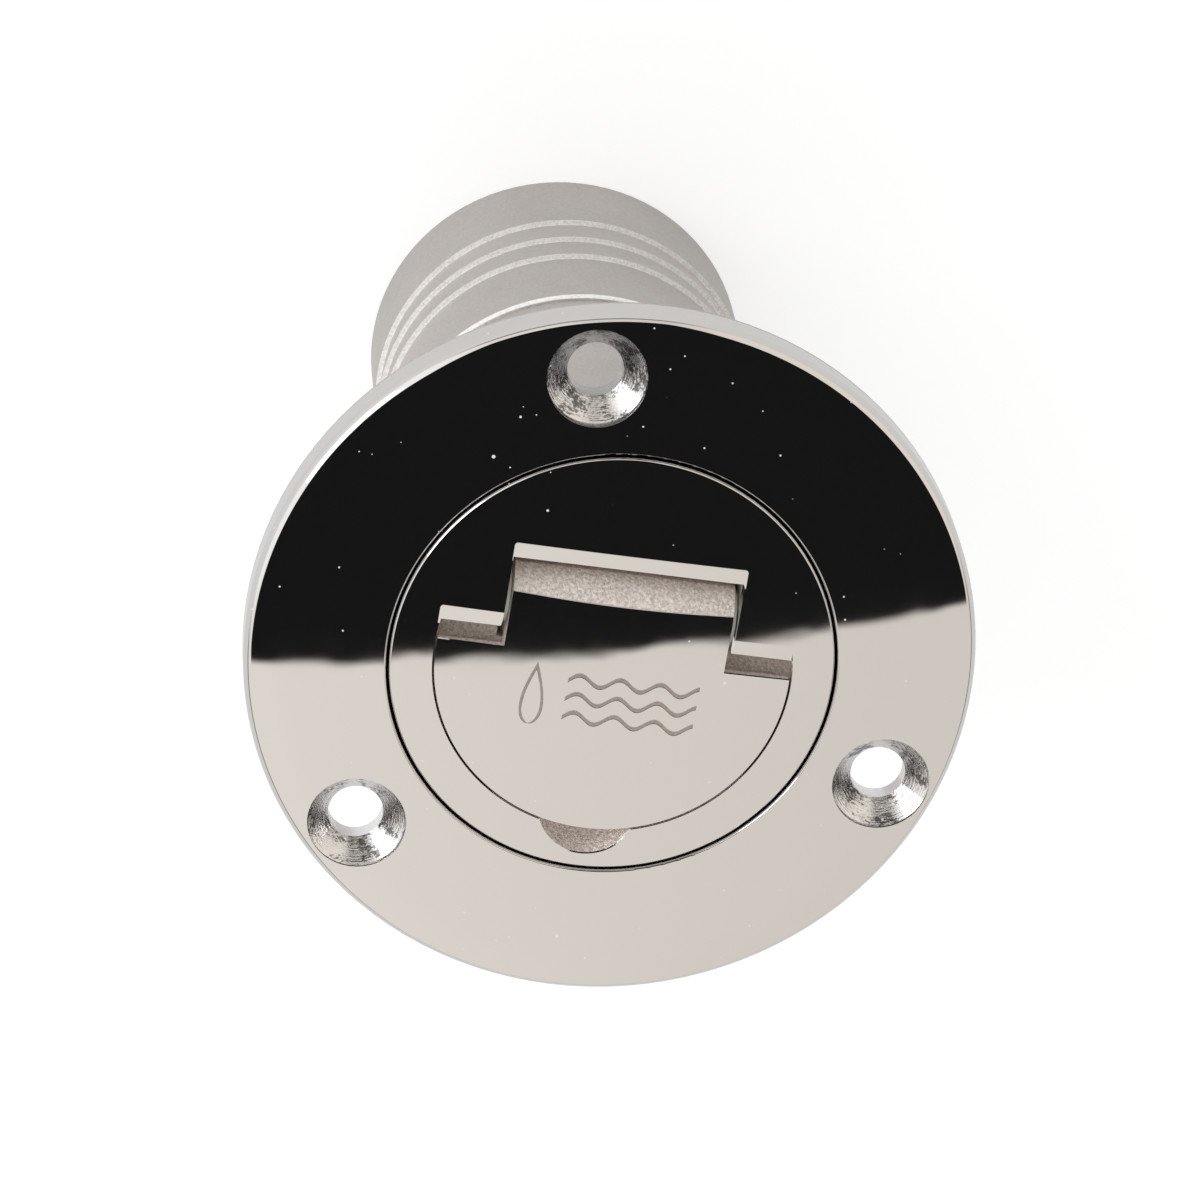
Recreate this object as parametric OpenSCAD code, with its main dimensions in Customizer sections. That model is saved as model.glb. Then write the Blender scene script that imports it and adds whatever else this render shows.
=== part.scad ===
// Deck fill cap: a flush deck plate with a hose tail, closed by a screw cap whose
// half-round handle folds up to turn it. A short chain keeps the cap with the plate.
//
// Frame: origin at the centre of the plate's underside, where it sits on the deck.
// +Z points up out of the deck, +Y towards the first screw hole. Millimetres.

/* [Deck plate] */
// Outside diameter of the deck plate
plate_d = 90; // [84:1:96]
// Height of the shallow dome at its centre
crown_z = 7.2; // [6.8:0.1:7.6]
// Radius of the dome over plate, cap and handle
dome_r = 550; // [450:10:700]
// Rounding of the plate's outer edge
edge_round = 2; // [1:0.1:2.4]
// Rounding of the polished edges along the seam between plate and cap
seam_round = 0.7; // [0.4:0.05:0.9]

/* [Deck screws] */
// Diameter of the circle through the screw holes
screw_pcd = 75; // [73:0.5:76]
// Number of screw holes
screw_count = 3; // [3:1:5]
// Diameter of each screw hole
screw_hole_d = 6.8; // [5.5:0.1:7]
// Diameter of each countersink
csk_d = 12.2; // [11:0.1:13]
// Depth of the straight lip above each countersink cone
csk_lip = 0.8; // [0.3:0.1:1.2]

/* [Hose tail] */
// Outside diameter of the tail where the hose is clamped
tail_d = 50.8; // [50:0.1:52]
// Inside diameter of the tail
tail_bore_d = 45; // [43:0.5:46]
// Length from the deck to the open end of the tail
tail_length = 100.5; // [95:0.5:110]
// Length of the plain end below the lowest barb
plain_end = 16.2; // [13:0.1:17]
// Spacing of the barbs
barb_pitch = 6.6; // [6:0.1:7]
// Number of barbs
barb_count = 3; // [2:1:3]
// Height of each barb
barb_step = 0.6; // [0.4:0.1:0.9]
// Height of the bead above the tail
bead_height = 0.5; // [0.3:0.1:0.8]
// Distance of the bead below the deck
bead_depth = 55; // [52:0.5:58]

/* [Neck and throat] */
// Outside diameter of the neck under the plate
neck_d = 59; // [58:0.5:60]
// Depth to which the neck is straight
neck_depth = 21; // [20:0.5:24]
// Depth at which the neck has tapered down to the tail
taper_depth = 31; // [28:0.5:35]
// Diameter of the lip that stops the toggle bar
lip_d = 28; // [27:0.5:28.5]

/* [Cap] */
// Diameter of the cap's head
cap_d = 54.7; // [54:0.1:55]
// Gap between the cap and the plate all round
seam_gap = 0.25; // [0.2:0.05:0.35]
// Thread pitch
pitch = 3; // [2.8:0.1:3]
// Angle at which the closed cap stops, clockwise from the first screw hole
stop_angle = 12; // [0:1:30]

/* [Handle] */
// Radius of the half-round grip
grip_r = 21.8; // [21.5:0.1:21.9]
// Width of the tab that carries the hinge
tab_w = 27.2; // [26.8:0.1:27.4]
// Thickness from the recess to the dome's crown
grip_t = 4; // [3.8:0.1:4.1]
// Diameter of the hinge pin
pin_d = 4; // [3.5:0.1:4]

/* [Tether] */
// Number of swinging links between the swivel and the toggle bar
link_count = 6; // [6:1:6]
// Distance between two neighbouring link pivots
link_pitch = 8; // [7.5:0.1:8.2]
// Wire diameter of the links
wire_d = 1.8; // [1.6:0.1:2]
// Length of the toggle bar
toggle_length = 30; // [29.5:0.5:30.5]

/* [Hidden] */

// Curve segments: general, small parts, and the very large dome circle
$fn = 180;
fn_small = 48;
fn_dome = 1440;
// Overshoot of cutting shapes
cut = 1;

// Plate and tail
plate_r = plate_d / 2;
tail_r = tail_d / 2;
tail_bore_r = tail_bore_d / 2;
neck_r = neck_d / 2;
lip_r = lip_d / 2;
barb_root_r = tail_r - barb_step;
barb_face = 0.2;
bead_round = 1;
bead_run_out = 5;
core_r = tail_r - 0.3;
neck_fillet = 1.5;

// Cap head, counterbore and seal
cap_r = cap_d / 2;
counterbore_r = cap_r + seam_gap;
head_bottom_z = -1;
seal_d = 2.6;
seal_gap = 0.05;
seal_neck_r = 24;
seal_r = seal_neck_r + seal_gap + seal_d / 2;
seal_z = head_bottom_z - seal_gap - seal_d / 2;
seat_z = seal_z - seal_d / 2 - 0.1;
seal_neck_bottom_z = seat_z - 0.1;

// Screw thread: the same helix on both sides, cut wider in the plate
thread_root_r = 23;
thread_crest_r = 24.3;
thread_root_w = 1.7;
thread_crest_w = 0.9;
thread_play = 0.3;
thread_bore_r = thread_root_r + 0.4;
thread_cut_r = thread_crest_r + thread_play;
thread_mouth_r = thread_cut_r + 0.4;
thread_relief_z = -14.9;
plug_bottom_z = -15;
throat_top_z = -16.5;
lip_bottom_z = -19.5;
male_low_z = -12.9;
male_high_z = -6.1;
cut_high_z = -2.4;
thread_steps = 40;

// Recess in the cap for the handle
recess_r = 22.1;
recess_floor_z = 2.9;
recess_shoulder_y = 2.7;
// Rolled edges: their radius, and how far the full round would stand above the dome
rolled_r = 3.2;
rolled_proud = 0.08;
slot_half_w = 14.3;
slot_end_y = 12;
scoop_r = 6.4;
scoop_y = -19.3;
scoop_z = 8.6;

// Hinge of the handle
pin_r = pin_d / 2;
hinge_y = 6.3;
hinge_z = 1.9;
knuckle_r = 5.2;
knuckle_flat = 4.9;
knuckle_pocket_r = knuckle_r + 0.4;
pin_left_x = -19.5;
pin_right_x = 26;
pin_fit = 0.05;
press_gap = 0.02;
tab_half_w = tab_w / 2;
shoulder_y = 1.1;
grip_bottom_z = crown_z - grip_t;
washer_r = 3.6;
washer_t = 0.5;

// Leaf spring under the knuckle
leaf_w = 12;
leaf_t = 0.4;
leaf_len = 7.4;
leaf_top_z = hinge_z - knuckle_r - 0.15;
leaf_bow = 0.5;
leaf_arc_r = leaf_len * leaf_len / (8 * leaf_bow);
leaf_pocket_z = leaf_top_z - leaf_t - leaf_bow - 0.1;

// Hollow of the plug and the swivel in it
hollow_r = 19;
hollow_top_z = -6.5;
screw_shank_r = 1.6;
screw_shank_z = -3.2;
screw_shoulder_r = 2.4;
screw_shoulder_z = -9.3;
screw_head_r = 4.2;
screw_head_z = -11.3;
washer_top_z = hollow_top_z - 0.05;
washer_bottom_z = washer_top_z - 0.6;
swivel_top_z = washer_bottom_z - 0.1;
swivel_bottom_z = swivel_top_z - 1.6;
swivel_bore_r = screw_shoulder_r + 0.07;
swivel_ring_r = 6;
bail_r = 5.2;
bail_bottom_z = -18.2;

// Chain: pivot k is the centre of the wire that link k hangs on
wire_r = wire_d / 2;
link_gap = 0.15;
link_bend_r = 2.5;
link_rise = wire_d + link_gap;
link_centre_length = link_pitch + link_rise;
toggle_bar_r = 1.6;
toggle_eye_z = bail_bottom_z - link_count * link_pitch;
toggle_bar_z = toggle_eye_z + link_rise - 2 * link_bend_r - toggle_bar_r - 0.3;

// Bonding screw on the neck
boss_z = -12;
boss_r = 5.2;
boss_y = -33;
bond_hole_bottom_y = -25.6;
bond_shank_r = 2;
bond_washer_t = 0.8;
bond_washer_r = 3.8;
bond_head_r = 3.9;
bond_head_t = 2.4;

// Height of a point on the dome, or of one that lies an inset below it
function dome_z(r, inset = 0) = crown_z - dome_r + sqrt(pow(dome_r - inset, 2) - r * r);
// Radius at which a rounding with its centre at r meets the dome
function touch_r(r, inset) = r * dome_r / (dome_r - inset);

module dome_outline() {
    translate([0, crown_z - dome_r]) circle(r = dome_r, $fn = fn_dome);
}

// Half section of a disc or ring with the dome on top and rounded top edges
module domed_ring(r_in, r_out, z_low, round_in, round_out) {
    low = max(r_in + round_in, 0);
    high = r_out - round_out;
    from_r = r_in > 0 ? touch_r(low, round_in) : 0;
    intersection() {
        dome_outline();
        translate([from_r, z_low]) square([touch_r(high, round_out) - from_r, 3 * crown_z - z_low]);
    }
    translate([high, dome_z(high, round_out)]) circle(r = round_out, $fn = fn_small);
    translate([low, z_low]) square([r_out - low, dome_z(high, round_out) - z_low]);
    if (r_in > 0) {
        translate([low, dome_z(low, round_in)]) circle(r = round_in, $fn = fn_small);
        translate([r_in, z_low]) square([low - r_in + round_in, dome_z(low, round_in) - z_low]);
    }
}

// Helical ridge of trapezoid section that rises counter-clockwise and runs out at both ends.
// Its angle follows its height alone, so that the threads of cap and plate are always in step.
module helix(z_low, z_high, r_in, r_out, w_in, w_out) {
    first = floor(z_low / pitch * thread_steps);
    count = ceil((z_high - z_low) / pitch * thread_steps);
    run_out = thread_steps / 4;
    points = [for (i = [0:count])
        let (a = (first + i) * 360 / thread_steps,
             z = (first + i) * pitch / thread_steps,
             grow = min(1, min(i, count - i) / run_out),
             r = r_in + 0.05 + (r_out - r_in - 0.05) * grow)
        each [[r_in * cos(a), r_in * sin(a), z - w_in / 2],
              [r * cos(a), r * sin(a), z - w_out / 2],
              [r * cos(a), r * sin(a), z + w_out / 2],
              [r_in * cos(a), r_in * sin(a), z + w_in / 2]]];
    sides = [for (i = [0:count - 1], k = [0:3])
        let (n = (k + 1) % 4)
        each [[4 * i + k, 4 * i + n, 4 * i + 4 + n], [4 * i + k, 4 * i + 4 + n, 4 * i + 4 + k]]];
    last = 4 * count;
    ends = [[0, 3, 2], [0, 2, 1], [last, last + 1, last + 2], [last, last + 2, last + 3]];
    polyhedron(points = points, faces = concat(sides, ends), convexity = 10);
}

// The closed cap and everything in it stands turned from the screw holes
module at_stop() rotate([0, 0, -stop_angle]) children();

// A round bar along X through the hinge
module along_hinge(r, x0, x1) {
    translate([x0, hinge_y, hinge_z]) rotate([0, 90, 0]) cylinder(r = r, h = x1 - x0);
}

// Tail section: plain end, barbs whose steep faces look up, bead, taper and neck
module tail_outline() {
    end_z = -tail_length;
    first_z = end_z + plain_end;
    top_z = first_z + barb_count * barb_pitch;
    barbs = [for (i = [0:barb_count - 1])
        let (z = first_z + i * barb_pitch)
        each [[tail_r, z], [barb_root_r, z + barb_face]]];
    polygon(concat(
        [[tail_bore_r - 2, end_z], [tail_r - 0.8, end_z], [tail_r, end_z + 0.8]],
        barbs,
        [[barb_root_r, top_z], [core_r, -bead_depth - bead_run_out],
         [core_r, -taper_depth], [neck_r, -neck_depth],
         [neck_r, 1], [tail_bore_r - 2, 1]]));
    // Bead that marks where the hose ends
    translate([core_r + bead_height - bead_round, -bead_depth]) circle(r = bead_round, $fn = fn_small);
}

module screw_hole() {
    top = dome_z(screw_pcd / 2);
    cone_top = top - csk_lip;
    cone_depth = (csk_d - screw_hole_d) / 2;
    translate([0, 0, -cut]) cylinder(d = screw_hole_d, h = crown_z + 2 * cut);
    translate([0, 0, cone_top]) cylinder(d = csk_d, h = 2 * cut + csk_lip);
    translate([0, 0, cone_top - cone_depth])
        cylinder(d1 = screw_hole_d, d2 = csk_d, h = cone_depth);
}

module deck_body() {
    color("silver") difference() {
        union() {
            rotate_extrude() intersection() {
                union() {
                    domed_ring(counterbore_r, plate_r, 0, seam_round, edge_round);
                    tail_outline();
                    // Fillet between the neck and the plate's underside
                    difference() {
                        translate([neck_r - cut, -neck_fillet]) square([cut + neck_fillet, neck_fillet + 1]);
                        translate([neck_r + neck_fillet, -neck_fillet])
                            circle(r = neck_fillet, $fn = fn_small);
                    }
                }
                translate([tail_bore_r - 3, -tail_length]) square([plate_r, tail_length + 2 * crown_z]);
            }
            // Lip above the toggle bar
            translate([0, 0, lip_bottom_z]) cylinder(r = neck_r - 2, h = throat_top_z - lip_bottom_z);
            // Boss for the bonding screw
            translate([0, boss_y, boss_z]) rotate([-90, 0, 0]) cylinder(r = boss_r, h = -boss_y - 26);
        }
        // Counterbore and seal seat
        translate([0, 0, seat_z]) cylinder(r = counterbore_r, h = 3 * crown_z);
        // Mouth of the thread
        translate([0, 0, seat_z - 1.6]) cylinder(r1 = thread_bore_r, r2 = thread_mouth_r, h = 1.6);
        translate([0, 0, throat_top_z]) cylinder(r = thread_bore_r, h = seat_z - throat_top_z + cut / 2);
        helix(thread_relief_z - 0.4, cut_high_z, thread_root_r - 0.2, thread_cut_r,
              thread_root_w + 2 * thread_play, thread_crest_w + 2 * thread_play);
        translate([0, 0, throat_top_z]) cylinder(r = thread_cut_r + 0.1, h = thread_relief_z - throat_top_z);
        // Lip and throat
        translate([0, 0, lip_bottom_z - cut]) cylinder(r = lip_r, h = throat_top_z - lip_bottom_z + 2 * cut);
        translate([0, 0, -tail_length - cut]) cylinder(r = tail_bore_r, h = tail_length + cut + lip_bottom_z);
        translate([0, 0, -tail_length - cut / 10])
            cylinder(r1 = tail_bore_r + 1.1, r2 = tail_bore_r, h = 1.1);
        for (i = [0:screw_count - 1])
            rotate([0, 0, 90 + i * 360 / screw_count]) translate([screw_pcd / 2, 0, 0]) screw_hole();
        translate([0, boss_y - cut, boss_z]) rotate([-90, 0, 0])
            cylinder(r = bond_shank_r + press_gap, h = bond_hole_bottom_y - boss_y + cut, $fn = fn_small);
    }
}

// Bar along X whose section in the YZ plane is its 2D child
module along_x(x0, x1) {
    translate([x0, 0, 0]) rotate([90, 0, 90]) linear_extrude(height = x1 - x0) children();
}

// Section of a pocket from y0 to a wall at y1, whose top edge rolls over into the dome
module pocket_section(y0, y1, z_low, z_top) {
    translate([y0, z_low]) square([y1 - y0, 2 * crown_z - z_low]);
    difference() {
        translate([y1 - cut, z_top + rolled_proud - rolled_r]) square([rolled_r + cut, crown_z]);
        translate([y1 + rolled_r, z_top + rolled_proud - rolled_r]) circle(r = rolled_r);
    }
}

// Place of the grip: a half-round recess with a straight shoulder on each side of the slot
module grip_recess() {
    intersection() {
        along_x(-recess_r - cut, recess_r + cut)
            pocket_section(-recess_r - cut, recess_shoulder_y, recess_floor_z, dome_z(18));
        cylinder(r = recess_r, h = 3 * crown_z);
    }
}

module cap() {
    color("gainsboro") at_stop() difference() {
        union() {
            rotate_extrude() {
                domed_ring(0, cap_r, recess_floor_z, 0, seam_round);
                polygon([[0, crown_z / 2], [0, plug_bottom_z], [thread_root_r - 0.8, plug_bottom_z],
                         [thread_root_r, plug_bottom_z + 0.8], [thread_root_r, seal_neck_bottom_z - 0.4],
                         [seal_neck_r, seal_neck_bottom_z], [seal_neck_r, head_bottom_z],
                         [cap_r - 0.5, head_bottom_z], [cap_r, head_bottom_z + 0.5],
                         [cap_r, crown_z / 2]]);
            }
            rotate([0, 0, stop_angle]) helix(male_low_z, male_high_z, thread_root_r - 0.4, thread_crest_r,
                                             thread_root_w, thread_crest_w);
        }
        // Recess for the grip, slot for the tab and pocket for the knuckle
        grip_recess();
        along_x(-slot_half_w, slot_half_w) {
            pocket_section(hinge_y - knuckle_r / 2, slot_end_y, hinge_z, dome_z(slot_end_y));
            translate([hinge_y, hinge_z]) circle(r = knuckle_pocket_r);
        }
        // Finger scoop
        translate([0, scoop_y, scoop_z]) sphere(r = scoop_r);
        // Pin hole, blind on one side, and the pocket of the leaf spring
        along_hinge(pin_r + press_gap, pin_left_x - 0.3, cap_r + cut);
        translate([-leaf_w / 2 - 0.3, hinge_y - leaf_len / 2 - 0.3, leaf_pocket_z])
            cube([leaf_w + 0.6, leaf_len + 0.6, hinge_z - leaf_pocket_z]);
        // Hollow plug and the screw hole of the swivel
        translate([0, 0, plug_bottom_z - cut]) cylinder(r = hollow_r, h = hollow_top_z - plug_bottom_z + cut);
        translate([0, 0, hollow_top_z - cut])
            cylinder(r = screw_shank_r + press_gap, h = screw_shank_z + 0.2 - hollow_top_z + cut,
                     $fn = fn_small);
    }
}

// Section of the hinge end, across the pin: a round knuckle with two flats for the leaf spring
module knuckle_section() {
    intersection() {
        circle(r = knuckle_r);
        translate([-knuckle_r, -knuckle_flat]) square([knuckle_r + knuckle_flat, 2 * knuckle_r]);
    }
}

module grip_blank() {
    intersection() {
        union() {
            translate([0, 0, grip_bottom_z]) linear_extrude(height = crown_z) intersection() {
                circle(r = grip_r);
                translate([-grip_r, -grip_r]) square([2 * grip_r, grip_r + shoulder_y]);
            }
            // Tab from the grip to the knuckle
            translate([-tab_half_w, shoulder_y - 2, grip_bottom_z])
                cube([tab_w, hinge_y + 2 - shoulder_y, crown_z]);
            translate([-tab_half_w, hinge_y, hinge_z]) rotate([90, 0, 90])
                linear_extrude(height = tab_w) knuckle_section();
        }
        rotate_extrude() domed_ring(0, 2 * grip_r, hinge_z - 2 * knuckle_r, 0, 1);
    }
}

module handle() {
    bevel = 2.4;
    color("gainsboro") at_stop() difference() {
        grip_blank();
        // Relief under both shoulders, so they clear the cap as the grip swings up
        for (x = [-grip_r - cut, tab_half_w])
            translate([x, shoulder_y, grip_bottom_z]) rotate([90, 0, 90])
                linear_extrude(height = grip_r + cut - tab_half_w)
                    polygon([[-bevel / 2, -cut], [-bevel / 2, 0], [0, bevel], [cut, bevel], [cut, -cut]]);
        along_hinge(pin_r + pin_fit, -tab_w, tab_w);
        // Shallow hollow that fingers hook into from below
        translate([0, -grip_r + 4, grip_bottom_z - 3.4]) rotate([0, 90, 0]) translate([0, 0, -7])
            cylinder(r = 4.4, h = 14, $fn = fn_small);
    }
}

module handle_pin() {
    color("darkgray") at_stop() intersection() {
        along_hinge(pin_r, pin_left_x, pin_right_x);
        // Both ends slightly domed
        translate([(pin_left_x + pin_right_x) / 2, hinge_y, hinge_z])
            sphere(r = norm([(pin_right_x - pin_left_x) / 2, pin_r - 0.3]));
    }
}

module handle_washers() {
    gap = slot_half_w - tab_half_w;
    color("white") at_stop() for (side = [-1, 1])
        translate([side * (tab_half_w + gap / 2), 0, 0]) difference() {
            along_hinge(washer_r, -washer_t / 2, washer_t / 2);
            along_hinge(pin_r + pin_fit, -washer_t, washer_t);
        }
}

module handle_spring() {
    color("lightsteelblue") at_stop() intersection() {
        translate([-leaf_w / 2, hinge_y, leaf_top_z - leaf_arc_r]) rotate([0, 90, 0]) difference() {
            cylinder(r = leaf_arc_r, h = leaf_w);
            translate([0, 0, -cut]) cylinder(r = leaf_arc_r - leaf_t, h = leaf_w + 2 * cut);
        }
        translate([-leaf_w, hinge_y - leaf_len / 2, leaf_top_z - 2])
            cube([2 * leaf_w, leaf_len, 3]);
    }
}

module cap_oring() {
    color("dimgray") translate([0, 0, seal_z]) rotate_extrude()
        translate([seal_r, 0]) circle(d = seal_d, $fn = fn_small);
}

module tether_screw() {
    color("silver") at_stop() difference() {
        rotate_extrude($fn = fn_small) {
            translate([0, hollow_top_z]) square([screw_shank_r, screw_shank_z - hollow_top_z]);
            translate([0, screw_shoulder_z]) square([screw_shoulder_r, hollow_top_z - screw_shoulder_z]);
            // Pan head
            intersection() {
                translate([0, screw_shoulder_z - 2]) square([screw_head_r, 2]);
                translate([0, screw_head_z + 5.6]) circle(r = 5.6);
            }
        }
        translate([-screw_head_r, -0.5, screw_head_z - cut]) cube([2 * screw_head_r, 1, 1 + cut]);
    }
}

module swivel_washer() {
    color("lightgray") translate([0, 0, washer_bottom_z]) difference() {
        cylinder(r = 4.8, h = washer_top_z - washer_bottom_z, $fn = fn_small);
        translate([0, 0, -cut]) cylinder(r = swivel_bore_r, h = 2 + 2 * cut, $fn = fn_small);
    }
}

// Half ring of wire in the XZ plane, bulging down
module wire_bend(bend_r) {
    rotate([-90, 0, 0]) rotate_extrude(angle = 180)
        translate([bend_r, 0]) circle(r = wire_r, $fn = fn_small);
}

module swivel_bail() {
    leg_low_z = bail_bottom_z + bail_r;
    color("silver") {
        difference() {
            translate([0, 0, swivel_bottom_z])
                cylinder(r = swivel_ring_r, h = swivel_top_z - swivel_bottom_z, $fn = fn_small);
            translate([0, 0, swivel_bottom_z - cut])
                cylinder(r = swivel_bore_r, h = 2 + 2 * cut, $fn = fn_small);
        }
        for (side = [-1, 1]) translate([side * bail_r, 0, leg_low_z])
            cylinder(r = wire_r, h = swivel_bottom_z + 0.5 - leg_low_z, $fn = fn_small);
        translate([0, 0, leg_low_z]) wire_bend(bail_r);
    }
}

// A link whose lower bend is centred on the pivot of the next one
module chain_link(k) {
    low_z = bail_bottom_z - k * link_pitch;
    straight = link_centre_length - 2 * link_bend_r;
    color("silver") rotate([0, 0, k % 2 == 1 ? 90 : 0]) translate([0, 0, low_z + link_bend_r]) {
        wire_bend(link_bend_r);
        translate([0, 0, straight]) mirror([0, 0, 1]) wire_bend(link_bend_r);
        for (side = [-1, 1]) translate([side * link_bend_r, 0, 0])
            cylinder(r = wire_r, h = straight, $fn = fn_small);
    }
}

module toggle_bar() {
    eye_z = toggle_eye_z + link_rise - link_bend_r;
    body = toggle_length - 2 * toggle_bar_r;
    color("silver") {
        translate([0, 0, eye_z]) rotate([90, 0, 90]) rotate_extrude()
            translate([link_bend_r, 0]) circle(r = wire_r, $fn = fn_small);
        translate([0, -body / 2, toggle_bar_z]) rotate([-90, 0, 0])
            cylinder(r = toggle_bar_r, h = body, $fn = fn_small);
        for (side = [-1, 1]) translate([0, side * body / 2, toggle_bar_z])
            sphere(r = toggle_bar_r, $fn = fn_small);
    }
}

module bonding_screw() {
    under_head_y = boss_y - bond_washer_t - 0.04;
    color("goldenrod") translate([0, 0, boss_z]) rotate([-90, 0, 0]) difference() {
        rotate_extrude($fn = fn_small) {
            translate([0, under_head_y]) square([bond_shank_r, bond_hole_bottom_y - 0.5 - under_head_y]);
            intersection() {
                translate([0, under_head_y - bond_head_t]) square([bond_head_r, bond_head_t]);
                translate([0, under_head_y - bond_head_t + 5]) circle(r = 5);
            }
        }
        translate([-bond_head_r - cut, -0.6, under_head_y - bond_head_t - cut])
            cube([2 * (bond_head_r + cut), 1.2, 1.2 + cut]);
    }
}

module bonding_washer() {
    color("lightgray") translate([0, boss_y - bond_washer_t - 0.02, boss_z]) rotate([-90, 0, 0])
        difference() {
            cylinder(r = bond_washer_r, h = bond_washer_t, $fn = fn_small);
            translate([0, 0, -cut])
                cylinder(r = bond_shank_r + 0.15, h = bond_washer_t + 2 * cut, $fn = fn_small);
            // Split of the spring washer
            translate([bond_shank_r - 0.2, -0.25, -cut]) cube([bond_washer_r, 0.5, bond_washer_t + 2 * cut]);
        }
}

deck_body();
cap();
handle();
handle_pin();
handle_washers();
handle_spring();
cap_oring();
tether_screw();
swivel_washer();
swivel_bail();
chain_link(1);  // chain_link_1
chain_link(2);  // chain_link_2
chain_link(3);  // chain_link_3
chain_link(4);  // chain_link_4
chain_link(5);  // chain_link_5
chain_link(6);  // chain_link_6
toggle_bar();
bonding_screw();
bonding_washer();
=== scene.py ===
"""Looks of the deck fill cap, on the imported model.

Metres, in the CAD frame; the materials work in millimetres."""
import math

import bpy
from mathutils import Matrix, Vector


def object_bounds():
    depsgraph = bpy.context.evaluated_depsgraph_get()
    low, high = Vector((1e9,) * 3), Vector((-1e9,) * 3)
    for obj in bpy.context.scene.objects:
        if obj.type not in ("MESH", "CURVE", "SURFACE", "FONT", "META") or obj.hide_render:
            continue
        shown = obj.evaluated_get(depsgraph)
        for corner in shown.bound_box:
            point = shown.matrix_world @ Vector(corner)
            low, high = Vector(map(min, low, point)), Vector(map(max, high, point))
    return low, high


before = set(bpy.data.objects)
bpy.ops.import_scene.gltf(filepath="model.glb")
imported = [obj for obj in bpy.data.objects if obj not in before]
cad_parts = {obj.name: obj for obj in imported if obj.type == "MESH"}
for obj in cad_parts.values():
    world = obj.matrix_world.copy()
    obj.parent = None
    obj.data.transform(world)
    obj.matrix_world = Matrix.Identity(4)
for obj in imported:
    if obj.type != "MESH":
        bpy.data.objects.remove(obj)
cad_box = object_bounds()

MM = 0.001

# Shapes of the part that the materials follow, in millimetres, as the CAD has them
CROWN_Z = 7.2
DOME_R = 550.0
PLATE_R = 45.0
EDGE_ROUND = 2.0
CAP_R = 27.35
COUNTERBORE_R = 27.6
SEAM_ROUND = 0.7
HOLE_PCD = 75.0
HOLE_COUNT = 3
CSK_R = 6.1
SCREW_HOLE_R = 3.4
TAIL_R = 25.4
TAIL_END_Z = -100.5
THROAT_R = 25.0
THROAT_TOP_Z = -16.5
BEAD_Z = -55.0
FIRST_BARB_Z = TAIL_END_Z + 16.2
BARB_PITCH = 6.6
BARB_COUNT = 3
# The cap is drawn turned to its stop; its slot and recess are measured along and across the hinge
STOP_ANGLE = math.radians(12)
SLOT_HALF = 14.3
SLOT_END = 12.0
RECESS_R = 22.0
RECESS_END = 2.7
ROLL_RUN = 2.5

# What hand polishing has left: places and widths in millimetres, the rest slopes or shares
SLOPE_ROLL_R = 38.5
RIM_FALL = 0.55
RIM_KEPT = 0.5
SEAM_KEPT = 0.55
ROLL_OFF = 0.35
ROLL_SLOPE = 0.25
SOFT_EDGE = 0.15
SCOOP_ROUGH_Y = -15.5

# Colours
POLISHED = (0.77, 0.75, 0.73, 1.0)
TURNED = (0.84, 0.82, 0.80, 1.0)
# White: a painted reflection of the floor below on the screw holes' walls
HOLE_WALL_PAINTED_REFLECTION = (1.0, 1.0, 1.0, 1.0)
BLASTED = (0.49, 0.46, 0.435, 1.0)
# Near white: a painted highlight on the bead and the barbs' lips
LIP_HIGHLIGHT_PAINT = (1.0, 0.98, 0.95, 1.0)
ROUGH_CAST = (0.86, 0.78, 0.72, 1.0)
DUST = (0.78, 0.78, 0.78, 1.0)
BLACK = (0.0, 0.0, 0.0, 1.0)
WHITE = (1.0, 1.0, 1.0, 1.0)

# Grain of the castings in millimetres, and how much its tone varies
BLASTED_SKIN = {"tone": BLASTED, "grain": 0.45, "relief": 0.06, "contrast": 0.06}
CAP_SKIN = {"tone": ROUGH_CAST, "grain": 0.4, "relief": 0.2, "contrast": 0.24}
HANDLE_SKIN = {"tone": ROUGH_CAST, "grain": 0.34, "relief": 0.2, "contrast": 0.24}

# The camera: its place in metres, the way back to it from the part, and its picture's right
CAMERA_AT = (-0.03653, 0.29917, 0.67405)
TO_CAMERA = (-0.0486, 0.3982, 0.9160)
CAMERA_RIGHT = (0.99618, -0.0473, 0.07342)

# Dark flag over the part, in slopes of the mirrored ray: 0 is straight up, 1 is 45 degrees
FLAG_REACH = 2.0
FLAG_HALF = 0.7
FLAG_SOFT = 0.1
FLAG_EDGE_SOFT = 0.005
FLAG_TONE = (0.01, 0.01, 0.01, 1.0)


def shade(colour, factor):
    return tuple(factor * c for c in colour[:3]) + (1.0,)


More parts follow.
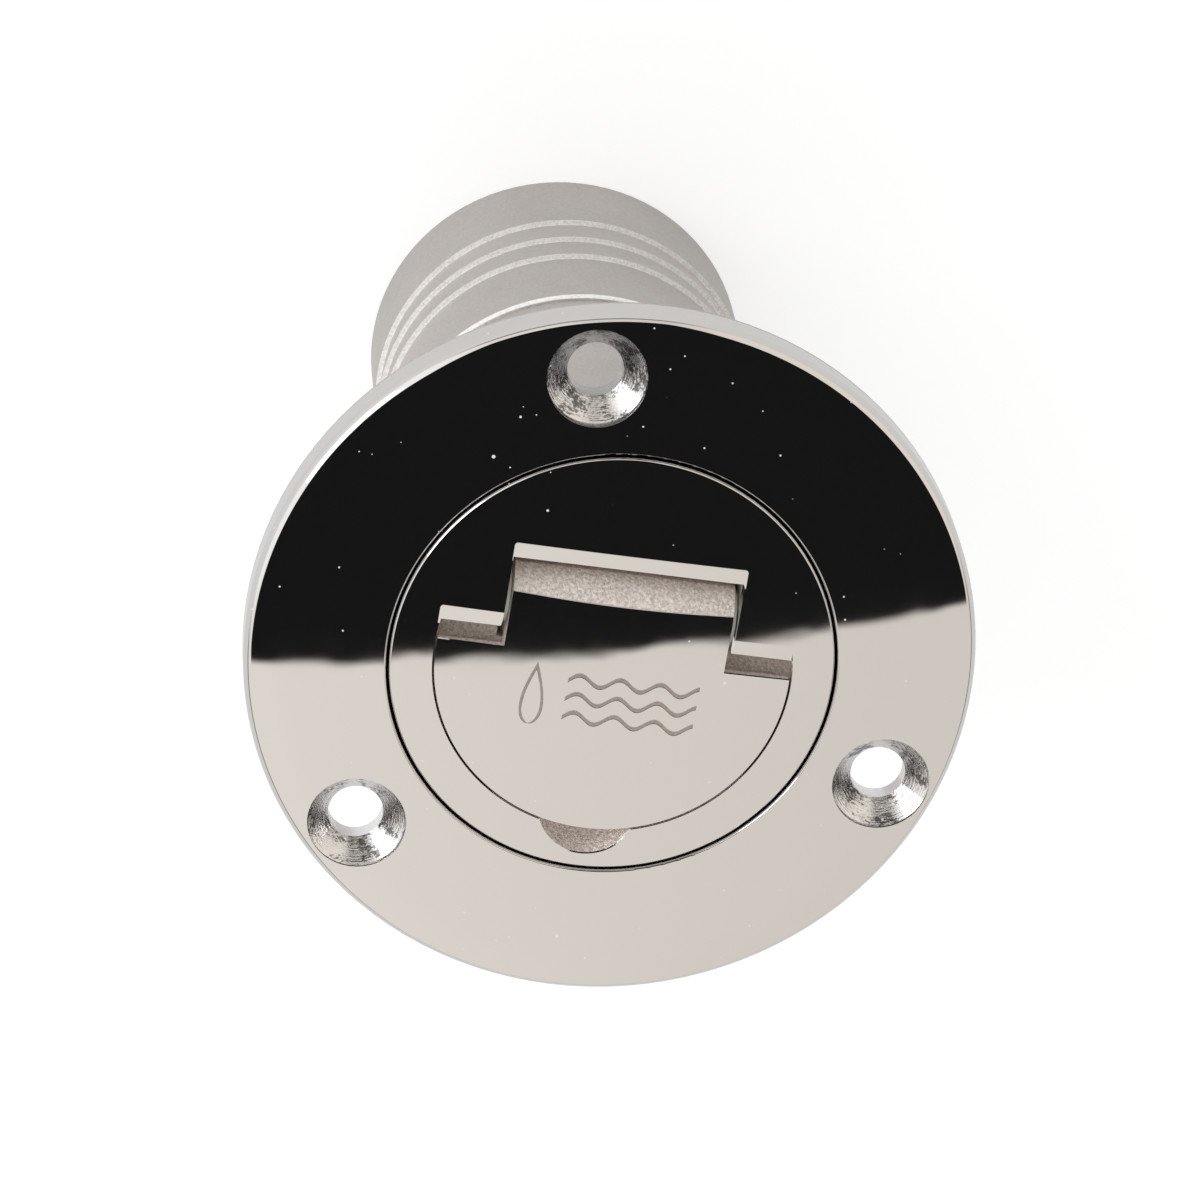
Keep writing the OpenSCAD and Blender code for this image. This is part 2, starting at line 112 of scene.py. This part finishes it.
# ---------------------------------------------------------------- node helpers
class Nodes:
    """A node tree, with short calls that return sockets."""

    def __init__(self, tree):
        self.tree = tree
        tree.nodes.clear()

    def add(self, kind, *values, **props):
        """A node with its properties set and its first inputs set or linked in order."""
        made = self.tree.nodes.new("ShaderNode" + kind)
        for key, value in props.items():
            setattr(made, key, value)
        for place, value in enumerate(values):
            self.put(made.inputs[place], value)
        return made

    def put(self, socket, value):
        if isinstance(value, bpy.types.NodeSocket):
            self.tree.links.new(value, socket)
        elif value is not None:
            socket.default_value = value

    def math(self, operation, *values, clamp=False):
        return self.add("Math", *values, operation=operation, use_clamp=clamp).outputs[0]

    def vector(self, operation, *values):
        made = self.add("VectorMath", *values, operation=operation)
        scalar = operation in ("LENGTH", "DISTANCE", "DOT_PRODUCT")
        return made.outputs["Value" if scalar else "Vector"]

    def scaled(self, vector, factor):
        made = self.add("VectorMath", vector, operation="SCALE")
        self.put(made.inputs["Scale"], factor)
        return made.outputs["Vector"]

    def joined(self, x, y, z):
        return self.add("CombineXYZ", x, y, z).outputs[0]

    def step(self, value, low, high):
        """0 at low and 1 at high, smooth between, whichever of the two is larger."""
        if isinstance(low, bpy.types.NodeSocket) or low < high:
            start, end, at_start = low, high, 0.0
        else:
            start, end, at_start = high, low, 1.0
        made = self.add("MapRange", value, start, end, at_start, 1.0 - at_start,
                        interpolation_type="SMOOTHSTEP")
        return made.outputs[0]

    def both(self, *masks):
        total = masks[0]
        for mask in masks[1:]:
            total = self.math("MULTIPLY", total, mask)
        return total

    def either(self, *masks):
        total = masks[0]
        for mask in masks[1:]:
            total = self.math("MAXIMUM", total, mask)
        return total

    def without(self, mask):
        return self.math("SUBTRACT", 1.0, mask)

    def sum(self, *values):
        total = values[0]
        for value in values[1:]:
            total = self.math("ADD", total, value)
        return total

    def mix(self, kind, sockets, factor, a, b):
        made = self.tree.nodes.new("ShaderNodeMix")
        made.data_type = kind
        for place, value in zip(sockets, (factor, a, b)):
            self.put(made.inputs[place], value)
        return made.outputs[{"FLOAT": 0, "VECTOR": 1, "RGBA": 2}[kind]]

    def lerp(self, factor, a, b):
        return self.mix("FLOAT", (0, 2, 3), factor, a, b)

    def blend(self, factor, a, b):
        return self.mix("RGBA", (0, 6, 7), factor, a, b)

    def vector_mix(self, factor, a, b):
        return self.mix("VECTOR", (0, 4, 5), factor, a, b)

    def noise(self, where, size, detail=3.0, rough=0.5, stretch=None):
        """Fractal noise from 0 to 1 whose features are about size units across."""
        if stretch:
            where = self.vector("MULTIPLY", where, stretch)
        made = self.tree.nodes.new("ShaderNodeTexNoise")
        self.put(made.inputs["Vector"], where)
        self.put(made.inputs["Scale"], 1.0 / size)
        self.put(made.inputs["Detail"], detail)
        self.put(made.inputs["Roughness"], rough)
        return made.outputs[0]

    def cells(self, where, size):
        """Distance to the nearest cell centre, in cell sizes, and a random value of the cell."""
        made = self.tree.nodes.new("ShaderNodeTexVoronoi")
        self.put(made.inputs["Vector"], where)
        self.put(made.inputs["Scale"], 1.0 / size)
        return made.outputs["Distance"], self.add("SeparateXYZ", made.outputs["Color"]).outputs[0]

    def radius(self, x, y):
        return self.math("SQRT", self.sum(self.math("MULTIPLY", x, x), self.math("MULTIPLY", y, y)))


class Surface(Nodes):
    """A material's node tree."""

    def __init__(self, name):
        self.material = bpy.data.materials.new(name)
        self.material.use_nodes = True
        super().__init__(self.material.node_tree)

    def place(self):
        """Position on the piece in millimetres: the vector and its x, y and z."""
        found = self.scaled(self.add("TexCoord").outputs["Object"], 1.0 / MM)
        split = self.add("SeparateXYZ", found)
        return found, split.outputs[0], split.outputs[1], split.outputs[2]

    def turned(self, normal, frm, to):
        return self.add("VectorTransform", normal, vector_type="NORMAL", convert_from=frm,
                        convert_to=to).outputs[0]

    def own_normal(self, bevel=None):
        """The mesh's normal in the piece's own axes, its edges softened over bevel millimetres."""
        if bevel:
            found = self.add("Bevel", bevel * MM, samples=4).outputs[0]
        else:
            found = self.add("NewGeometry").outputs["Normal"]
        return self.turned(found, "WORLD", "OBJECT")

    def finish(self, colour, rough, height=None, normal=None, metallic=1.0, **extra):
        """Principled surface; height is in millimetres and normal in the piece's own axes."""
        shader = self.tree.nodes.new("ShaderNodeBsdfPrincipled")
        self.put(shader.inputs["Base Color"], colour)
        self.put(shader.inputs["Roughness"], rough)
        self.put(shader.inputs["Metallic"], metallic)
        for key, value in extra.items():
            self.put(shader.inputs[key.replace("_", " ")], value)
        if normal is not None:
            normal = self.turned(normal, "OBJECT", "WORLD")
        if height is not None:
            bump = self.tree.nodes.new("ShaderNodeBump")
            bump.inputs["Distance"].default_value = MM
            self.put(bump.inputs["Height"], height)
            self.put(bump.inputs["Normal"], normal)
            normal = bump.outputs[0]
        self.put(shader.inputs["Normal"], normal)
        self.out = self.tree.nodes.new("ShaderNodeOutputMaterial")
        self.put(self.out.inputs["Surface"], shader.outputs[0])
        return self.material


# ---------------------------------------------------------------- surfaces of the castings
def dome_z(r, inset=0.0):
    return CROWN_Z - DOME_R + math.sqrt((DOME_R - inset) ** 2 - r * r)


def dome(g, where, near=0.2, roll=None):
    """Mask of the polished dome, its true normal, and the depth below it.

    near is the depth down to which a face counts as part of the dome, and roll the radius
    from which hand polishing has rolled the surface off towards the rim."""
    from_centre = g.vector("SUBTRACT", where, (0.0, 0.0, CROWN_Z - DOME_R))
    depth = g.math("SUBTRACT", DOME_R, g.vector("LENGTH", from_centre))
    if roll:
        level = g.vector("MULTIPLY", where, (1.0, 1.0, 0.0))
        share = g.step(g.vector("LENGTH", level), roll, PLATE_R - EDGE_ROUND)
        tilted = g.scaled(level, g.math("MULTIPLY", share, RIM_FALL))
        from_centre = g.vector("ADD", from_centre, tilted)
    return g.step(depth, near, 0.9 * near), g.vector("NORMALIZE", from_centre), depth


def rounding(g, normal, where, r, z, ring_r, round_r, outward, kept):
    """The normal, with a rounded rim's own where its section is a circle under the dome at ring_r.

    Polishing has kept the dome's slope over the first part of the rounding, kept * round_r wide."""
    sign = 1.0 if outward else -1.0
    across = g.math("DIVIDE", g.math("SUBTRACT", r, ring_r), round_r)
    lean = g.math("MINIMUM", g.math("MAXIMUM", across, -0.999), 0.999)
    rise = g.math("SQRT", g.math("SUBTRACT", 1.0, g.math("MULTIPLY", lean, lean)))
    flat = g.scaled(g.vector("MULTIPLY", where, (1.0, 1.0, 0.0)), g.math("DIVIDE", lean, r))
    rounded = g.vector("ADD", flat, g.joined(0.0, 0.0, rise))
    side = g.math("MULTIPLY", g.math("SUBTRACT", r, ring_r), sign)
    round_z = dome_z(ring_r, round_r)
    mask = g.both(g.step(side, kept * round_r, (kept + 0.1) * round_r),
                  g.math("LESS_THAN", side, round_r + 0.05), g.step(z, round_z - 0.1, round_z))
    return g.vector_mix(mask, normal, rounded)


def polish_height(g, where):
    """Slow waves that hand polishing leaves."""
    waves = g.math("MULTIPLY", g.noise(where, 22.0, 1.0), 0.085)
    ripple = g.math("MULTIPLY", g.noise(where, 6.0, 1.0), 0.0045)
    return g.sum(waves, ripple)


def cast_height(g, where, grain, relief):
    """Grainy skin of an investment casting after shot blasting."""
    fine = g.math("MULTIPLY", g.noise(where, grain, 5.0, 0.65), relief)
    pits = g.math("MULTIPLY", g.cells(where, grain * 1.8)[0], -relief * 0.7)
    broad = g.math("MULTIPLY", g.noise(where, 9.0, 2.0), relief * 1.5)
    return g.sum(fine, pits, broad)


def cast_colour(g, where, tone, contrast):
    """Its colour, lighter and darker from grain to grain and a little from place to place."""
    grains = g.step(g.noise(where, 0.42, 4.0, 0.75), 0.36, 0.64)
    level = g.sum(g.lerp(grains, 1.0 - contrast, 1.0 + contrast),
                  g.lerp(g.noise(where, 14.0, 3.0), -0.1, 0.1))
    return g.blend(g.math("MULTIPLY", level, 0.5), BLACK, shade(tone, 2.0))


def dust(g, where):
    """Mask of sparse specks of dust on a polished face."""
    total = None
    for size, speck, share in ((4.2, 0.24, 0.25), (1.8, 0.13, 0.40)):
        near, chance = g.cells(g.vector("ADD", where, (size, 0.0, 0.0)), size)
        # The random value also sets how big each speck is
        limit = g.math("MULTIPLY", g.step(chance, share, 1.0), speck / size)
        here = g.math("GREATER_THAN", limit, near)
        total = here if total is None else g.either(total, here)
    return total


def polished_and_cast(g, where, cast, normal, shift, skin, turned=None, painted_highlight=None, mark=None):
    """The finish that all three castings share: mirror polish, except where a mask is 1.

    cast masks the as-cast skin, mark the etching, and the highlight mask the barb lips, which
    get a painted highlight. turned holds the mask, height, colour and metallic value of the cut
    faces. shift moves the polish's pattern, so that no two pieces have the same one."""
    shifted = g.vector("ADD", where, shift)
    specks = g.both(dust(g, shifted), g.without(cast))
    height = g.lerp(cast, polish_height(g, shifted),
                    cast_height(g, where, skin["grain"], skin["relief"]))
    polished_rough = g.lerp(g.noise(where, 3.0), 0.015, 0.035)
    cast_rough = g.lerp(g.noise(where, 2.0, 4.0), 0.32, 0.5)
    rough = g.lerp(cast, polished_rough, cast_rough)
    colour = g.blend(cast, POLISHED, cast_colour(g, where, skin["tone"], skin["contrast"]))
    metal = g.lerp(cast, 1.0, 0.45)
    if turned:
        mask, rings, tone, shine = turned
        height = g.lerp(mask, height, rings)
        rough = g.lerp(mask, rough, 0.15)
        colour = g.blend(mask, colour, tone)
        metal = g.lerp(mask, metal, shine)
    if painted_highlight:
        # Painted highlight: the lips are coloured near white, brighter than the satin skin around
        # them
        sparkle = g.noise(where, 0.35, 3.0, 0.7)
        bright = g.blend(g.step(sparkle, 0.35, 0.6), shade(LIP_HIGHLIGHT_PAINT, 0.8), LIP_HIGHLIGHT_PAINT)
        height = g.lerp(painted_highlight, height, g.math("MULTIPLY", sparkle, 0.06))
        rough = g.lerp(painted_highlight, rough, 0.26)
        colour = g.blend(painted_highlight, colour, bright)
        metal = g.lerp(painted_highlight, metal, 0.15)
    if mark:
        etched = g.blend(g.noise(where, 0.3, 3.0), (0.40, 0.35, 0.31, 1.0), (0.62, 0.56, 0.50, 1.0))
        colour = g.blend(mark, colour, etched)
        rough = g.lerp(mark, rough, 0.38)
        metal = g.lerp(mark, metal, 0.7)
        height = g.math("SUBTRACT", height, g.math("MULTIPLY", mark, 0.012))
    colour = g.blend(specks, colour, DUST)
    rough = g.lerp(specks, rough, 0.9)
    metal = g.lerp(specks, metal, 0.0)
    return g.finish(colour, rough, height, normal, metal)


def hole_distance(g, x, y):
    """Distance to the axis of the nearest screw hole."""
    near = None
    for k in range(HOLE_COUNT):
        turn = math.pi / 2 + k * 2 * math.pi / HOLE_COUNT
        here = g.radius(g.math("SUBTRACT", x, HOLE_PCD / 2 * math.cos(turn)),
                        g.math("SUBTRACT", y, HOLE_PCD / 2 * math.sin(turn)))
        near = here if near is None else g.math("MINIMUM", near, here)
    return near


def barb_lip_highlight_mask(g, r, z):
    """Mask of the bead and the barbs' lips, where a painted highlight brightens the satin skin."""
    lips = g.both(g.step(r, TAIL_R - 0.1, TAIL_R), g.step(z, BEAD_Z - 2, BEAD_Z - 1),
                  g.step(z, BEAD_Z + 2, BEAD_Z + 1))
    for k in range(BARB_COUNT):
        lip_z = FIRST_BARB_Z + k * BARB_PITCH
        lips = g.either(lips, g.both(g.step(z, lip_z - 0.12, lip_z - 0.04),
                                     g.step(z, lip_z + 0.4, lip_z + 0.25)))
    return g.both(lips, g.step(r, THROAT_R - 0.6, THROAT_R - 0.4))


def deck_metal():
    g = Surface("cast_stainless_deck")
    where, x, y, z = g.place()
    r = g.radius(x, y)
    on_dome, dome_normal, depth = dome(g, where, near=0.3, roll=SLOPE_ROLL_R)
    normal = g.vector_mix(on_dome, g.own_normal(), dome_normal)
    normal = rounding(g, normal, where, r, z, PLATE_R - EDGE_ROUND, EDGE_ROUND, True, RIM_KEPT)
    normal = rounding(g, normal, where, r, z, COUNTERBORE_R + SEAM_ROUND, SEAM_ROUND, False,
                      SEAM_KEPT)
    near = hole_distance(g, x, y)
    in_hole = g.both(g.step(near, CSK_R + 0.03, CSK_R - 0.03), g.step(depth, 0.03, 0.1),
                     g.step(z, 0.02, 0.06))
    hole_wall = g.both(g.step(near, SCREW_HOLE_R + 0.06, SCREW_HOLE_R + 0.03), in_hole)
    # Cutter marks of the countersink, some of them chattered and dark
    rings = g.math("MULTIPLY", g.noise(g.joined(near, 0.0, 0.0), 0.2, 3.0, 0.6), 0.03)
    chatter = g.noise(where, 0.5, 3.0, 0.65, (1.0, 1.0, 2.0))
    patches = g.noise(g.vector("ADD", where, (11.0, 5.0, 0.0)), 2.2, 1.0)
    bitten = g.step(g.math("MULTIPLY", chatter, patches), 0.25, 0.36)
    tone = g.blend(g.both(bitten, g.without(hole_wall)), TURNED, shade(TURNED, 0.25))
    # Painted light on the screw holes' walls: white as a painted reflection of the floor below, and
    # the first hole's wall darker as painted shade from the tail
    wall_painted_light = g.blend(g.step(y, 0.0, 10.0), HOLE_WALL_PAINTED_REFLECTION, shade(HOLE_WALL_PAINTED_REFLECTION, 0.45))
    tone = g.blend(hole_wall, tone, wall_painted_light)
    marks = g.both(g.sum(rings, g.math("MULTIPLY", chatter, 0.03)), g.without(hole_wall))
    bore = g.both(g.step(r, THROAT_R - 0.2, THROAT_R - 0.3),
                  g.step(z, THROAT_TOP_Z - 0.5, THROAT_TOP_Z + 0.5))
    polished = g.both(g.step(z, 0.15, 0.6), g.step(r, COUNTERBORE_R - 0.1, COUNTERBORE_R))
    cast = g.both(g.without(polished), g.without(bore))
    return polished_and_cast(g, where, cast, normal, (0.0, 0.0, 0.0), BLASTED_SKIN,
                             turned=(g.either(in_hole, bore), marks, tone,
                                     g.lerp(hole_wall, 1.0, 0.25)),
                             painted_highlight=barb_lip_highlight_mask(g, r, z))


def handle_axes(g, x, y):
    """Coordinates along and across the handle's hinge."""
    c, s = math.cos(STOP_ANGLE), math.sin(STOP_ANGLE)
    along = g.math("SUBTRACT", g.math("MULTIPLY", x, c), g.math("MULTIPLY", y, s))
    across = g.sum(g.math("MULTIPLY", x, s), g.math("MULTIPLY", y, c))
    return along, across


def slot_rolls(g, x, y, z):
    """Where the dome rolls over into the slot and the recess: a mask, and the slope left there."""
    u, v = handle_axes(g, x, y)
    side = g.math("ABSOLUTE", u)
    mask, off = None, None
    for low_u, high_u, end in ((0.0, SLOT_HALF, SLOT_END), (SLOT_HALF, RECESS_R, RECESS_END)):
        edge = end + ROLL_RUN
        roll = g.both(g.step(side, low_u - 0.1, low_u), g.step(side, high_u + 0.1, high_u),
                      g.step(v, end + 0.4, end + 0.5), g.step(v, edge + 0.1, edge))
        # Distance from the rolled edge, which stops short of the corners
        past = g.math("MAXIMUM", g.math("SUBTRACT", side, high_u - 0.3), 0.0)
        here = g.radius(past, g.math("SUBTRACT", v, edge))
        mask = roll if mask is None else g.either(mask, roll)
        off = here if off is None else g.math("MINIMUM", off, here)
    mask = g.both(mask, g.step(z, 2.5, 3.0))
    fall = g.math("SUBTRACT", 1.0, g.math("DIVIDE", off, ROLL_OFF), clamp=True)
    lean = g.lerp(mask, g.math("MULTIPLY", g.math("POWER", fall, 0.5), 0.22), ROLL_SLOPE)
    c, s = math.cos(STOP_ANGLE), math.sin(STOP_ANGLE)
    return mask, g.scaled((-s, -c, 0.0), lean)


def cap_metal():
    g = Surface("polished_cap")
    where, x, y, z = g.place()
    r = g.radius(x, y)
    on_dome, dome_normal, depth = dome(g, where)
    rolled, slope = slot_rolls(g, x, y, z)
    normal = g.vector_mix(g.either(on_dome, rolled), g.own_normal(SOFT_EDGE),
                          g.vector("ADD", dome_normal, slope))
    normal = rounding(g, normal, where, r, z, CAP_R - SEAM_ROUND, SEAM_ROUND, True, SEAM_KEPT)
    # The scoop is rough almost up to the dome, the slot and the recess only further down
    in_scoop = g.step(y, SCOOP_ROUGH_Y + 0.5, SCOOP_ROUGH_Y - 0.5)
    walls = g.both(g.step(depth, g.lerp(in_scoop, 2.1, 0.15), g.lerp(in_scoop, 2.7, 0.35)),
                   g.step(r, CAP_R - 1.0, CAP_R - 1.2))
    below = g.step(z, -0.9, -1.1)
    return polished_and_cast(g, where, g.either(walls, below), normal, (31.0, 7.0, 0.0), CAP_SKIN)


# ---------------------------------------------------------------- the handle's mark
def drop_shape(g, u, v, centre, width, tall):
    """How far a point is inside the outline of a drop that is round below and pointed above."""
    t = g.math("DIVIDE", g.math("SUBTRACT", v, centre[1] - tall / 2), tall)
    t = g.math("MINIMUM", g.math("MAXIMUM", t, 0.0), 1.0)
    half = g.math("MULTIPLY", g.math("SQRT", t), g.math("POWER", g.math("SUBTRACT", 1.0, t), 1.15))
    half = g.math("MULTIPLY", half, width * 1.24)
    return g.math("SUBTRACT", half, g.math("ABSOLUTE", g.math("SUBTRACT", u, centre[0])))


def ripple(g, u, v, start, end, level, thick):
    """One wavy line."""
    wave = g.math("MULTIPLY", g.math("SINE", g.math("MULTIPLY", u, 2 * math.pi / 5.0)), 0.65)
    off = g.math("ABSOLUTE", g.math("SUBTRACT", g.math("SUBTRACT", v, level), wave))
    soft = 0.05
    return g.both(g.step(off, thick / 2 + soft, thick / 2 - soft),
                  g.step(u, start - soft, start + soft), g.step(u, end + soft, end - soft))


def liquid_mark(g, x, y):
    """Generic sign for liquid: an outlined drop and three ripples."""
    u, v = handle_axes(g, x, y)
    inside = drop_shape(g, u, v, (-9.2, -4.3), 3.3, 8.6)
    mark = g.both(g.step(inside, 0.0, 0.08), g.step(inside, 0.42, 0.34))
    for k in range(3):
        mark = g.either(mark, ripple(g, u, v, -5.2, 11.0, -2.0 - 2.5 * k, 0.55))
    return mark


def handle_metal():
    g = Surface("polished_handle")
    where, x, y, z = g.place()
    on_dome, dome_normal, depth = dome(g, where, near=0.4)
    normal = g.vector_mix(on_dome, g.own_normal(SOFT_EDGE), dome_normal)
    mark = g.both(liquid_mark(g, x, y), g.step(depth, 0.3, 0.1))
    cast = g.step(depth, 0.34, 0.4)
    return polished_and_cast(g, where, cast, normal, (3.0, 57.0, 0.0), HANDLE_SKIN, mark=mark)


# ---------------------------------------------------------------- other materials
def drawn_metal(name, colour, rough, stretch, grain=0.4):
    """Wire and bar stock: fine draw lines along the stretched axis."""
    g = Surface(name)
    where = g.place()[0]
    lines = g.noise(where, grain, 4.0, 0.6, stretch)
    tone = g.blend(lines, shade(colour, 0.8), colour)
    worn = g.lerp(g.noise(where, 4.0, 3.0), rough * 0.75, rough * 1.35)
    return g.finish(tone, worn, g.math("MULTIPLY", lines, 0.006), g.own_normal(0.1))


def rubber():
    g = Surface("seal_rubber")
    where = g.place()[0]
    grain = g.noise(where, 0.5, 4.0, 0.6)
    tone = g.blend(grain, (0.012, 0.012, 0.013, 1.0), (0.035, 0.035, 0.036, 1.0))
    rough = g.lerp(g.noise(where, 3.0), 0.45, 0.62)
    return g.finish(tone, rough, g.math("MULTIPLY", grain, 0.02), metallic=0.0)


def nylon():
    g = Surface("natural_nylon")
    where = g.place()[0]
    grain = g.noise(where, 0.8, 3.0)
    tone = g.blend(grain, (0.80, 0.78, 0.70, 1.0), (0.88, 0.87, 0.82, 1.0))
    return g.finish(tone, g.lerp(grain, 0.36, 0.48), g.math("MULTIPLY", grain, 0.01), metallic=0.0,
                    Subsurface_Weight=0.1, Subsurface_Scale=MM)


def paint(material, *nodes):
    for node in nodes:
        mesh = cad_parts[node].data
        mesh.materials.clear()
        mesh.materials.append(material)


LINKS = ["chain_link_%d" % k for k in range(1, 7)]
paint(deck_metal(), "deck_body")
paint(cap_metal(), "cap")
paint(handle_metal(), "handle")
paint(drawn_metal("drawn_steel", (0.62, 0.61, 0.60, 1.0), 0.24, (1, 1, 0.15)),
      "handle_pin", "tether_screw")
paint(drawn_metal("spring_steel", (0.50, 0.51, 0.53, 1.0), 0.28, (1, 0.1, 1)),
      "handle_spring", "bonding_washer")
paint(drawn_metal("chain_wire", (0.66, 0.65, 0.63, 1.0), 0.2, (1, 1, 1), 0.8),
      "swivel_bail", "toggle_bar", *LINKS)
paint(drawn_metal("bonding_brass", (0.78, 0.60, 0.30, 1.0), 0.26, (1, 0.2, 1)), "bonding_screw")
paint(rubber(), "cap_oring")
paint(nylon(), "handle_washers", "swivel_washer")


# ---------------------------------------------------------------- studio
def floor():
    """Pale light table under the part, which keeps its shadow faint."""
    low = cad_box[0].z
    half = 3.0
    corners = [(-half, -half, low), (half, -half, low), (half, half, low), (-half, half, low)]
    mesh = bpy.data.meshes.new("floor")
    mesh.from_pydata(corners, [], [(0, 1, 2, 3)])
    made = bpy.data.objects.new("floor", mesh)
    bpy.context.collection.objects.link(made)
    g = Surface("floor")
    tone = g.blend(g.noise(g.place()[0], 40.0), (0.45, 0.45, 0.45, 1.0), (0.46, 0.46, 0.46, 1.0))
    # The table looks duller in the polished metal than it does to the eye
    glow = g.lerp(g.add("LightPath").outputs["Is Glossy Ray"], 0.64, 0.34)
    mesh.materials.append(g.finish(tone, 0.9, metallic=0.0, Specular_IOR_Level=0.0,
                                   Emission_Color=WHITE, Emission_Strength=glow))
    # It can be looked through from below
    shown = g.out.inputs["Surface"].links[0].from_socket
    below = g.add("NewGeometry").outputs["Backfacing"]
    clear = g.add("BsdfTransparent").outputs[0]
    g.put(g.out.inputs["Surface"], g.add("MixShader", below, shown, clear).outputs[0])


class Studio(Nodes):
    """What the polished metal mirrors: pale walls and soft boxes under one dark flag.

    side is the mirrored ray's slope towards +X and back its slope towards -Y, so 0, 0 is
    straight up."""

    def __init__(self, tree):
        super().__init__(tree)
        direction = self.vector("NORMALIZE", self.add("TexCoord").outputs["Generated"])
        dx, dy, self.rise = self.add("SeparateXYZ", direction).outputs
        up = self.math("MAXIMUM", self.rise, 0.04)
        self.side = self.math("DIVIDE", dx, up)
        self.back = self.math("DIVIDE", self.math("MULTIPLY", dy, -1.0), up)
        self.level = self.vector("NORMALIZE", self.joined(dx, dy, 0.0))

    def toward(self, x, y, low, high):
        """Mask of the walls that lie towards x, y."""
        size = math.hypot(x, y)
        aligned = self.vector("DOT_PRODUCT", self.level, (x / size, y / size, 0.0))
        return self.step(aligned, low, high)

    def walls(self):
        """Pale walls, a darker skirting, a soft box to the left and a weaker one to the right."""
        colour = self.blend(self.step(self.side, -0.3, 0.3), (0.92, 0.88, 0.84, 1.0),
                            (0.80, 0.76, 0.72, 1.0))
        colour = self.blend(self.step(self.rise, 0.15, 0.05), colour, (0.25, 0.25, 0.25, 1.0))
        colour = self.blend(self.toward(-2.0, 1.0, 0.7, 0.9), colour, (1.1, 1.1, 1.1, 1.0))
        return self.blend(self.toward(2.0, 1.0, 0.7, 0.9), colour, (0.90, 0.84, 0.78, 1.0))

    def flag(self):
        """Mask of the dark flag. Its near edge is mirrored across the middle of the dome."""
        edge = TO_CAMERA[1] / TO_CAMERA[2]
        return self.both(self.step(self.back, edge + FLAG_EDGE_SOFT, edge - FLAG_EDGE_SOFT),
                         self.step(self.back, -FLAG_REACH - FLAG_SOFT, -FLAG_REACH),
                         self.step(self.side, -FLAG_HALF - FLAG_SOFT, -FLAG_HALF),
                         self.step(self.side, FLAG_HALF + FLAG_SOFT, FLAG_HALF))


def studio():
    """Plain white light on everything; only mirrored rays see the walls and the flag."""
    world = bpy.data.worlds.new("studio")
    bpy.context.scene.world = world
    world.use_nodes = True
    g = Studio(world.node_tree)
    seen = g.blend(g.flag(), g.walls(), FLAG_TONE)
    # A little less light from the right
    white = (1.03, 1.03, 1.03, 1.0)
    soft = g.blend(g.toward(0.95, 0.3, 0.1, 0.95), white, (0.48, 0.46, 0.44, 1.0))
    paths = g.add("LightPath").outputs
    lit = g.blend(paths["Is Camera Ray"], soft, white)
    background = g.add("Background", g.blend(paths["Is Glossy Ray"], lit, seen), 1.0)
    out = g.add("OutputWorld")
    g.put(out.inputs["Surface"], background.outputs[0])


def camera():
    """Seen from above the deck on the first screw hole's side, turned so the tail is at the top."""
    data = bpy.data.cameras.new("camera")
    made = bpy.data.objects.new("camera", data)
    bpy.context.collection.objects.link(made)
    data.sensor_width = 36.0
    data.lens = 180.0
    data.clip_start = 0.01
    look = Vector(TO_CAMERA).normalized()
    right = Vector(CAMERA_RIGHT)
    up = look.cross(right).normalized()
    right = up.cross(look).normalized()
    axes = Matrix((right, up, look)).transposed().to_4x4()
    made.matrix_world = Matrix.Translation(Vector(CAMERA_AT)) @ axes
    bpy.context.scene.camera = made


def key_light():
    """Soft box to the left of the tail."""
    data = bpy.data.lights.new("key", "AREA")
    data.shape = "RECTANGLE"
    data.size, data.size_y = 0.5, 0.4
    data.energy = 2.5
    made = bpy.data.objects.new("key", data)
    bpy.context.collection.objects.link(made)
    made.location = (-0.85, 0.55, 0.35)
    aim = Vector((0, 0, -0.05)) - made.location
    made.rotation_euler = aim.to_track_quat("-Z", "Y").to_euler()


floor()
studio()
camera()
key_light()
bpy.context.scene.view_settings.view_transform = "Standard"
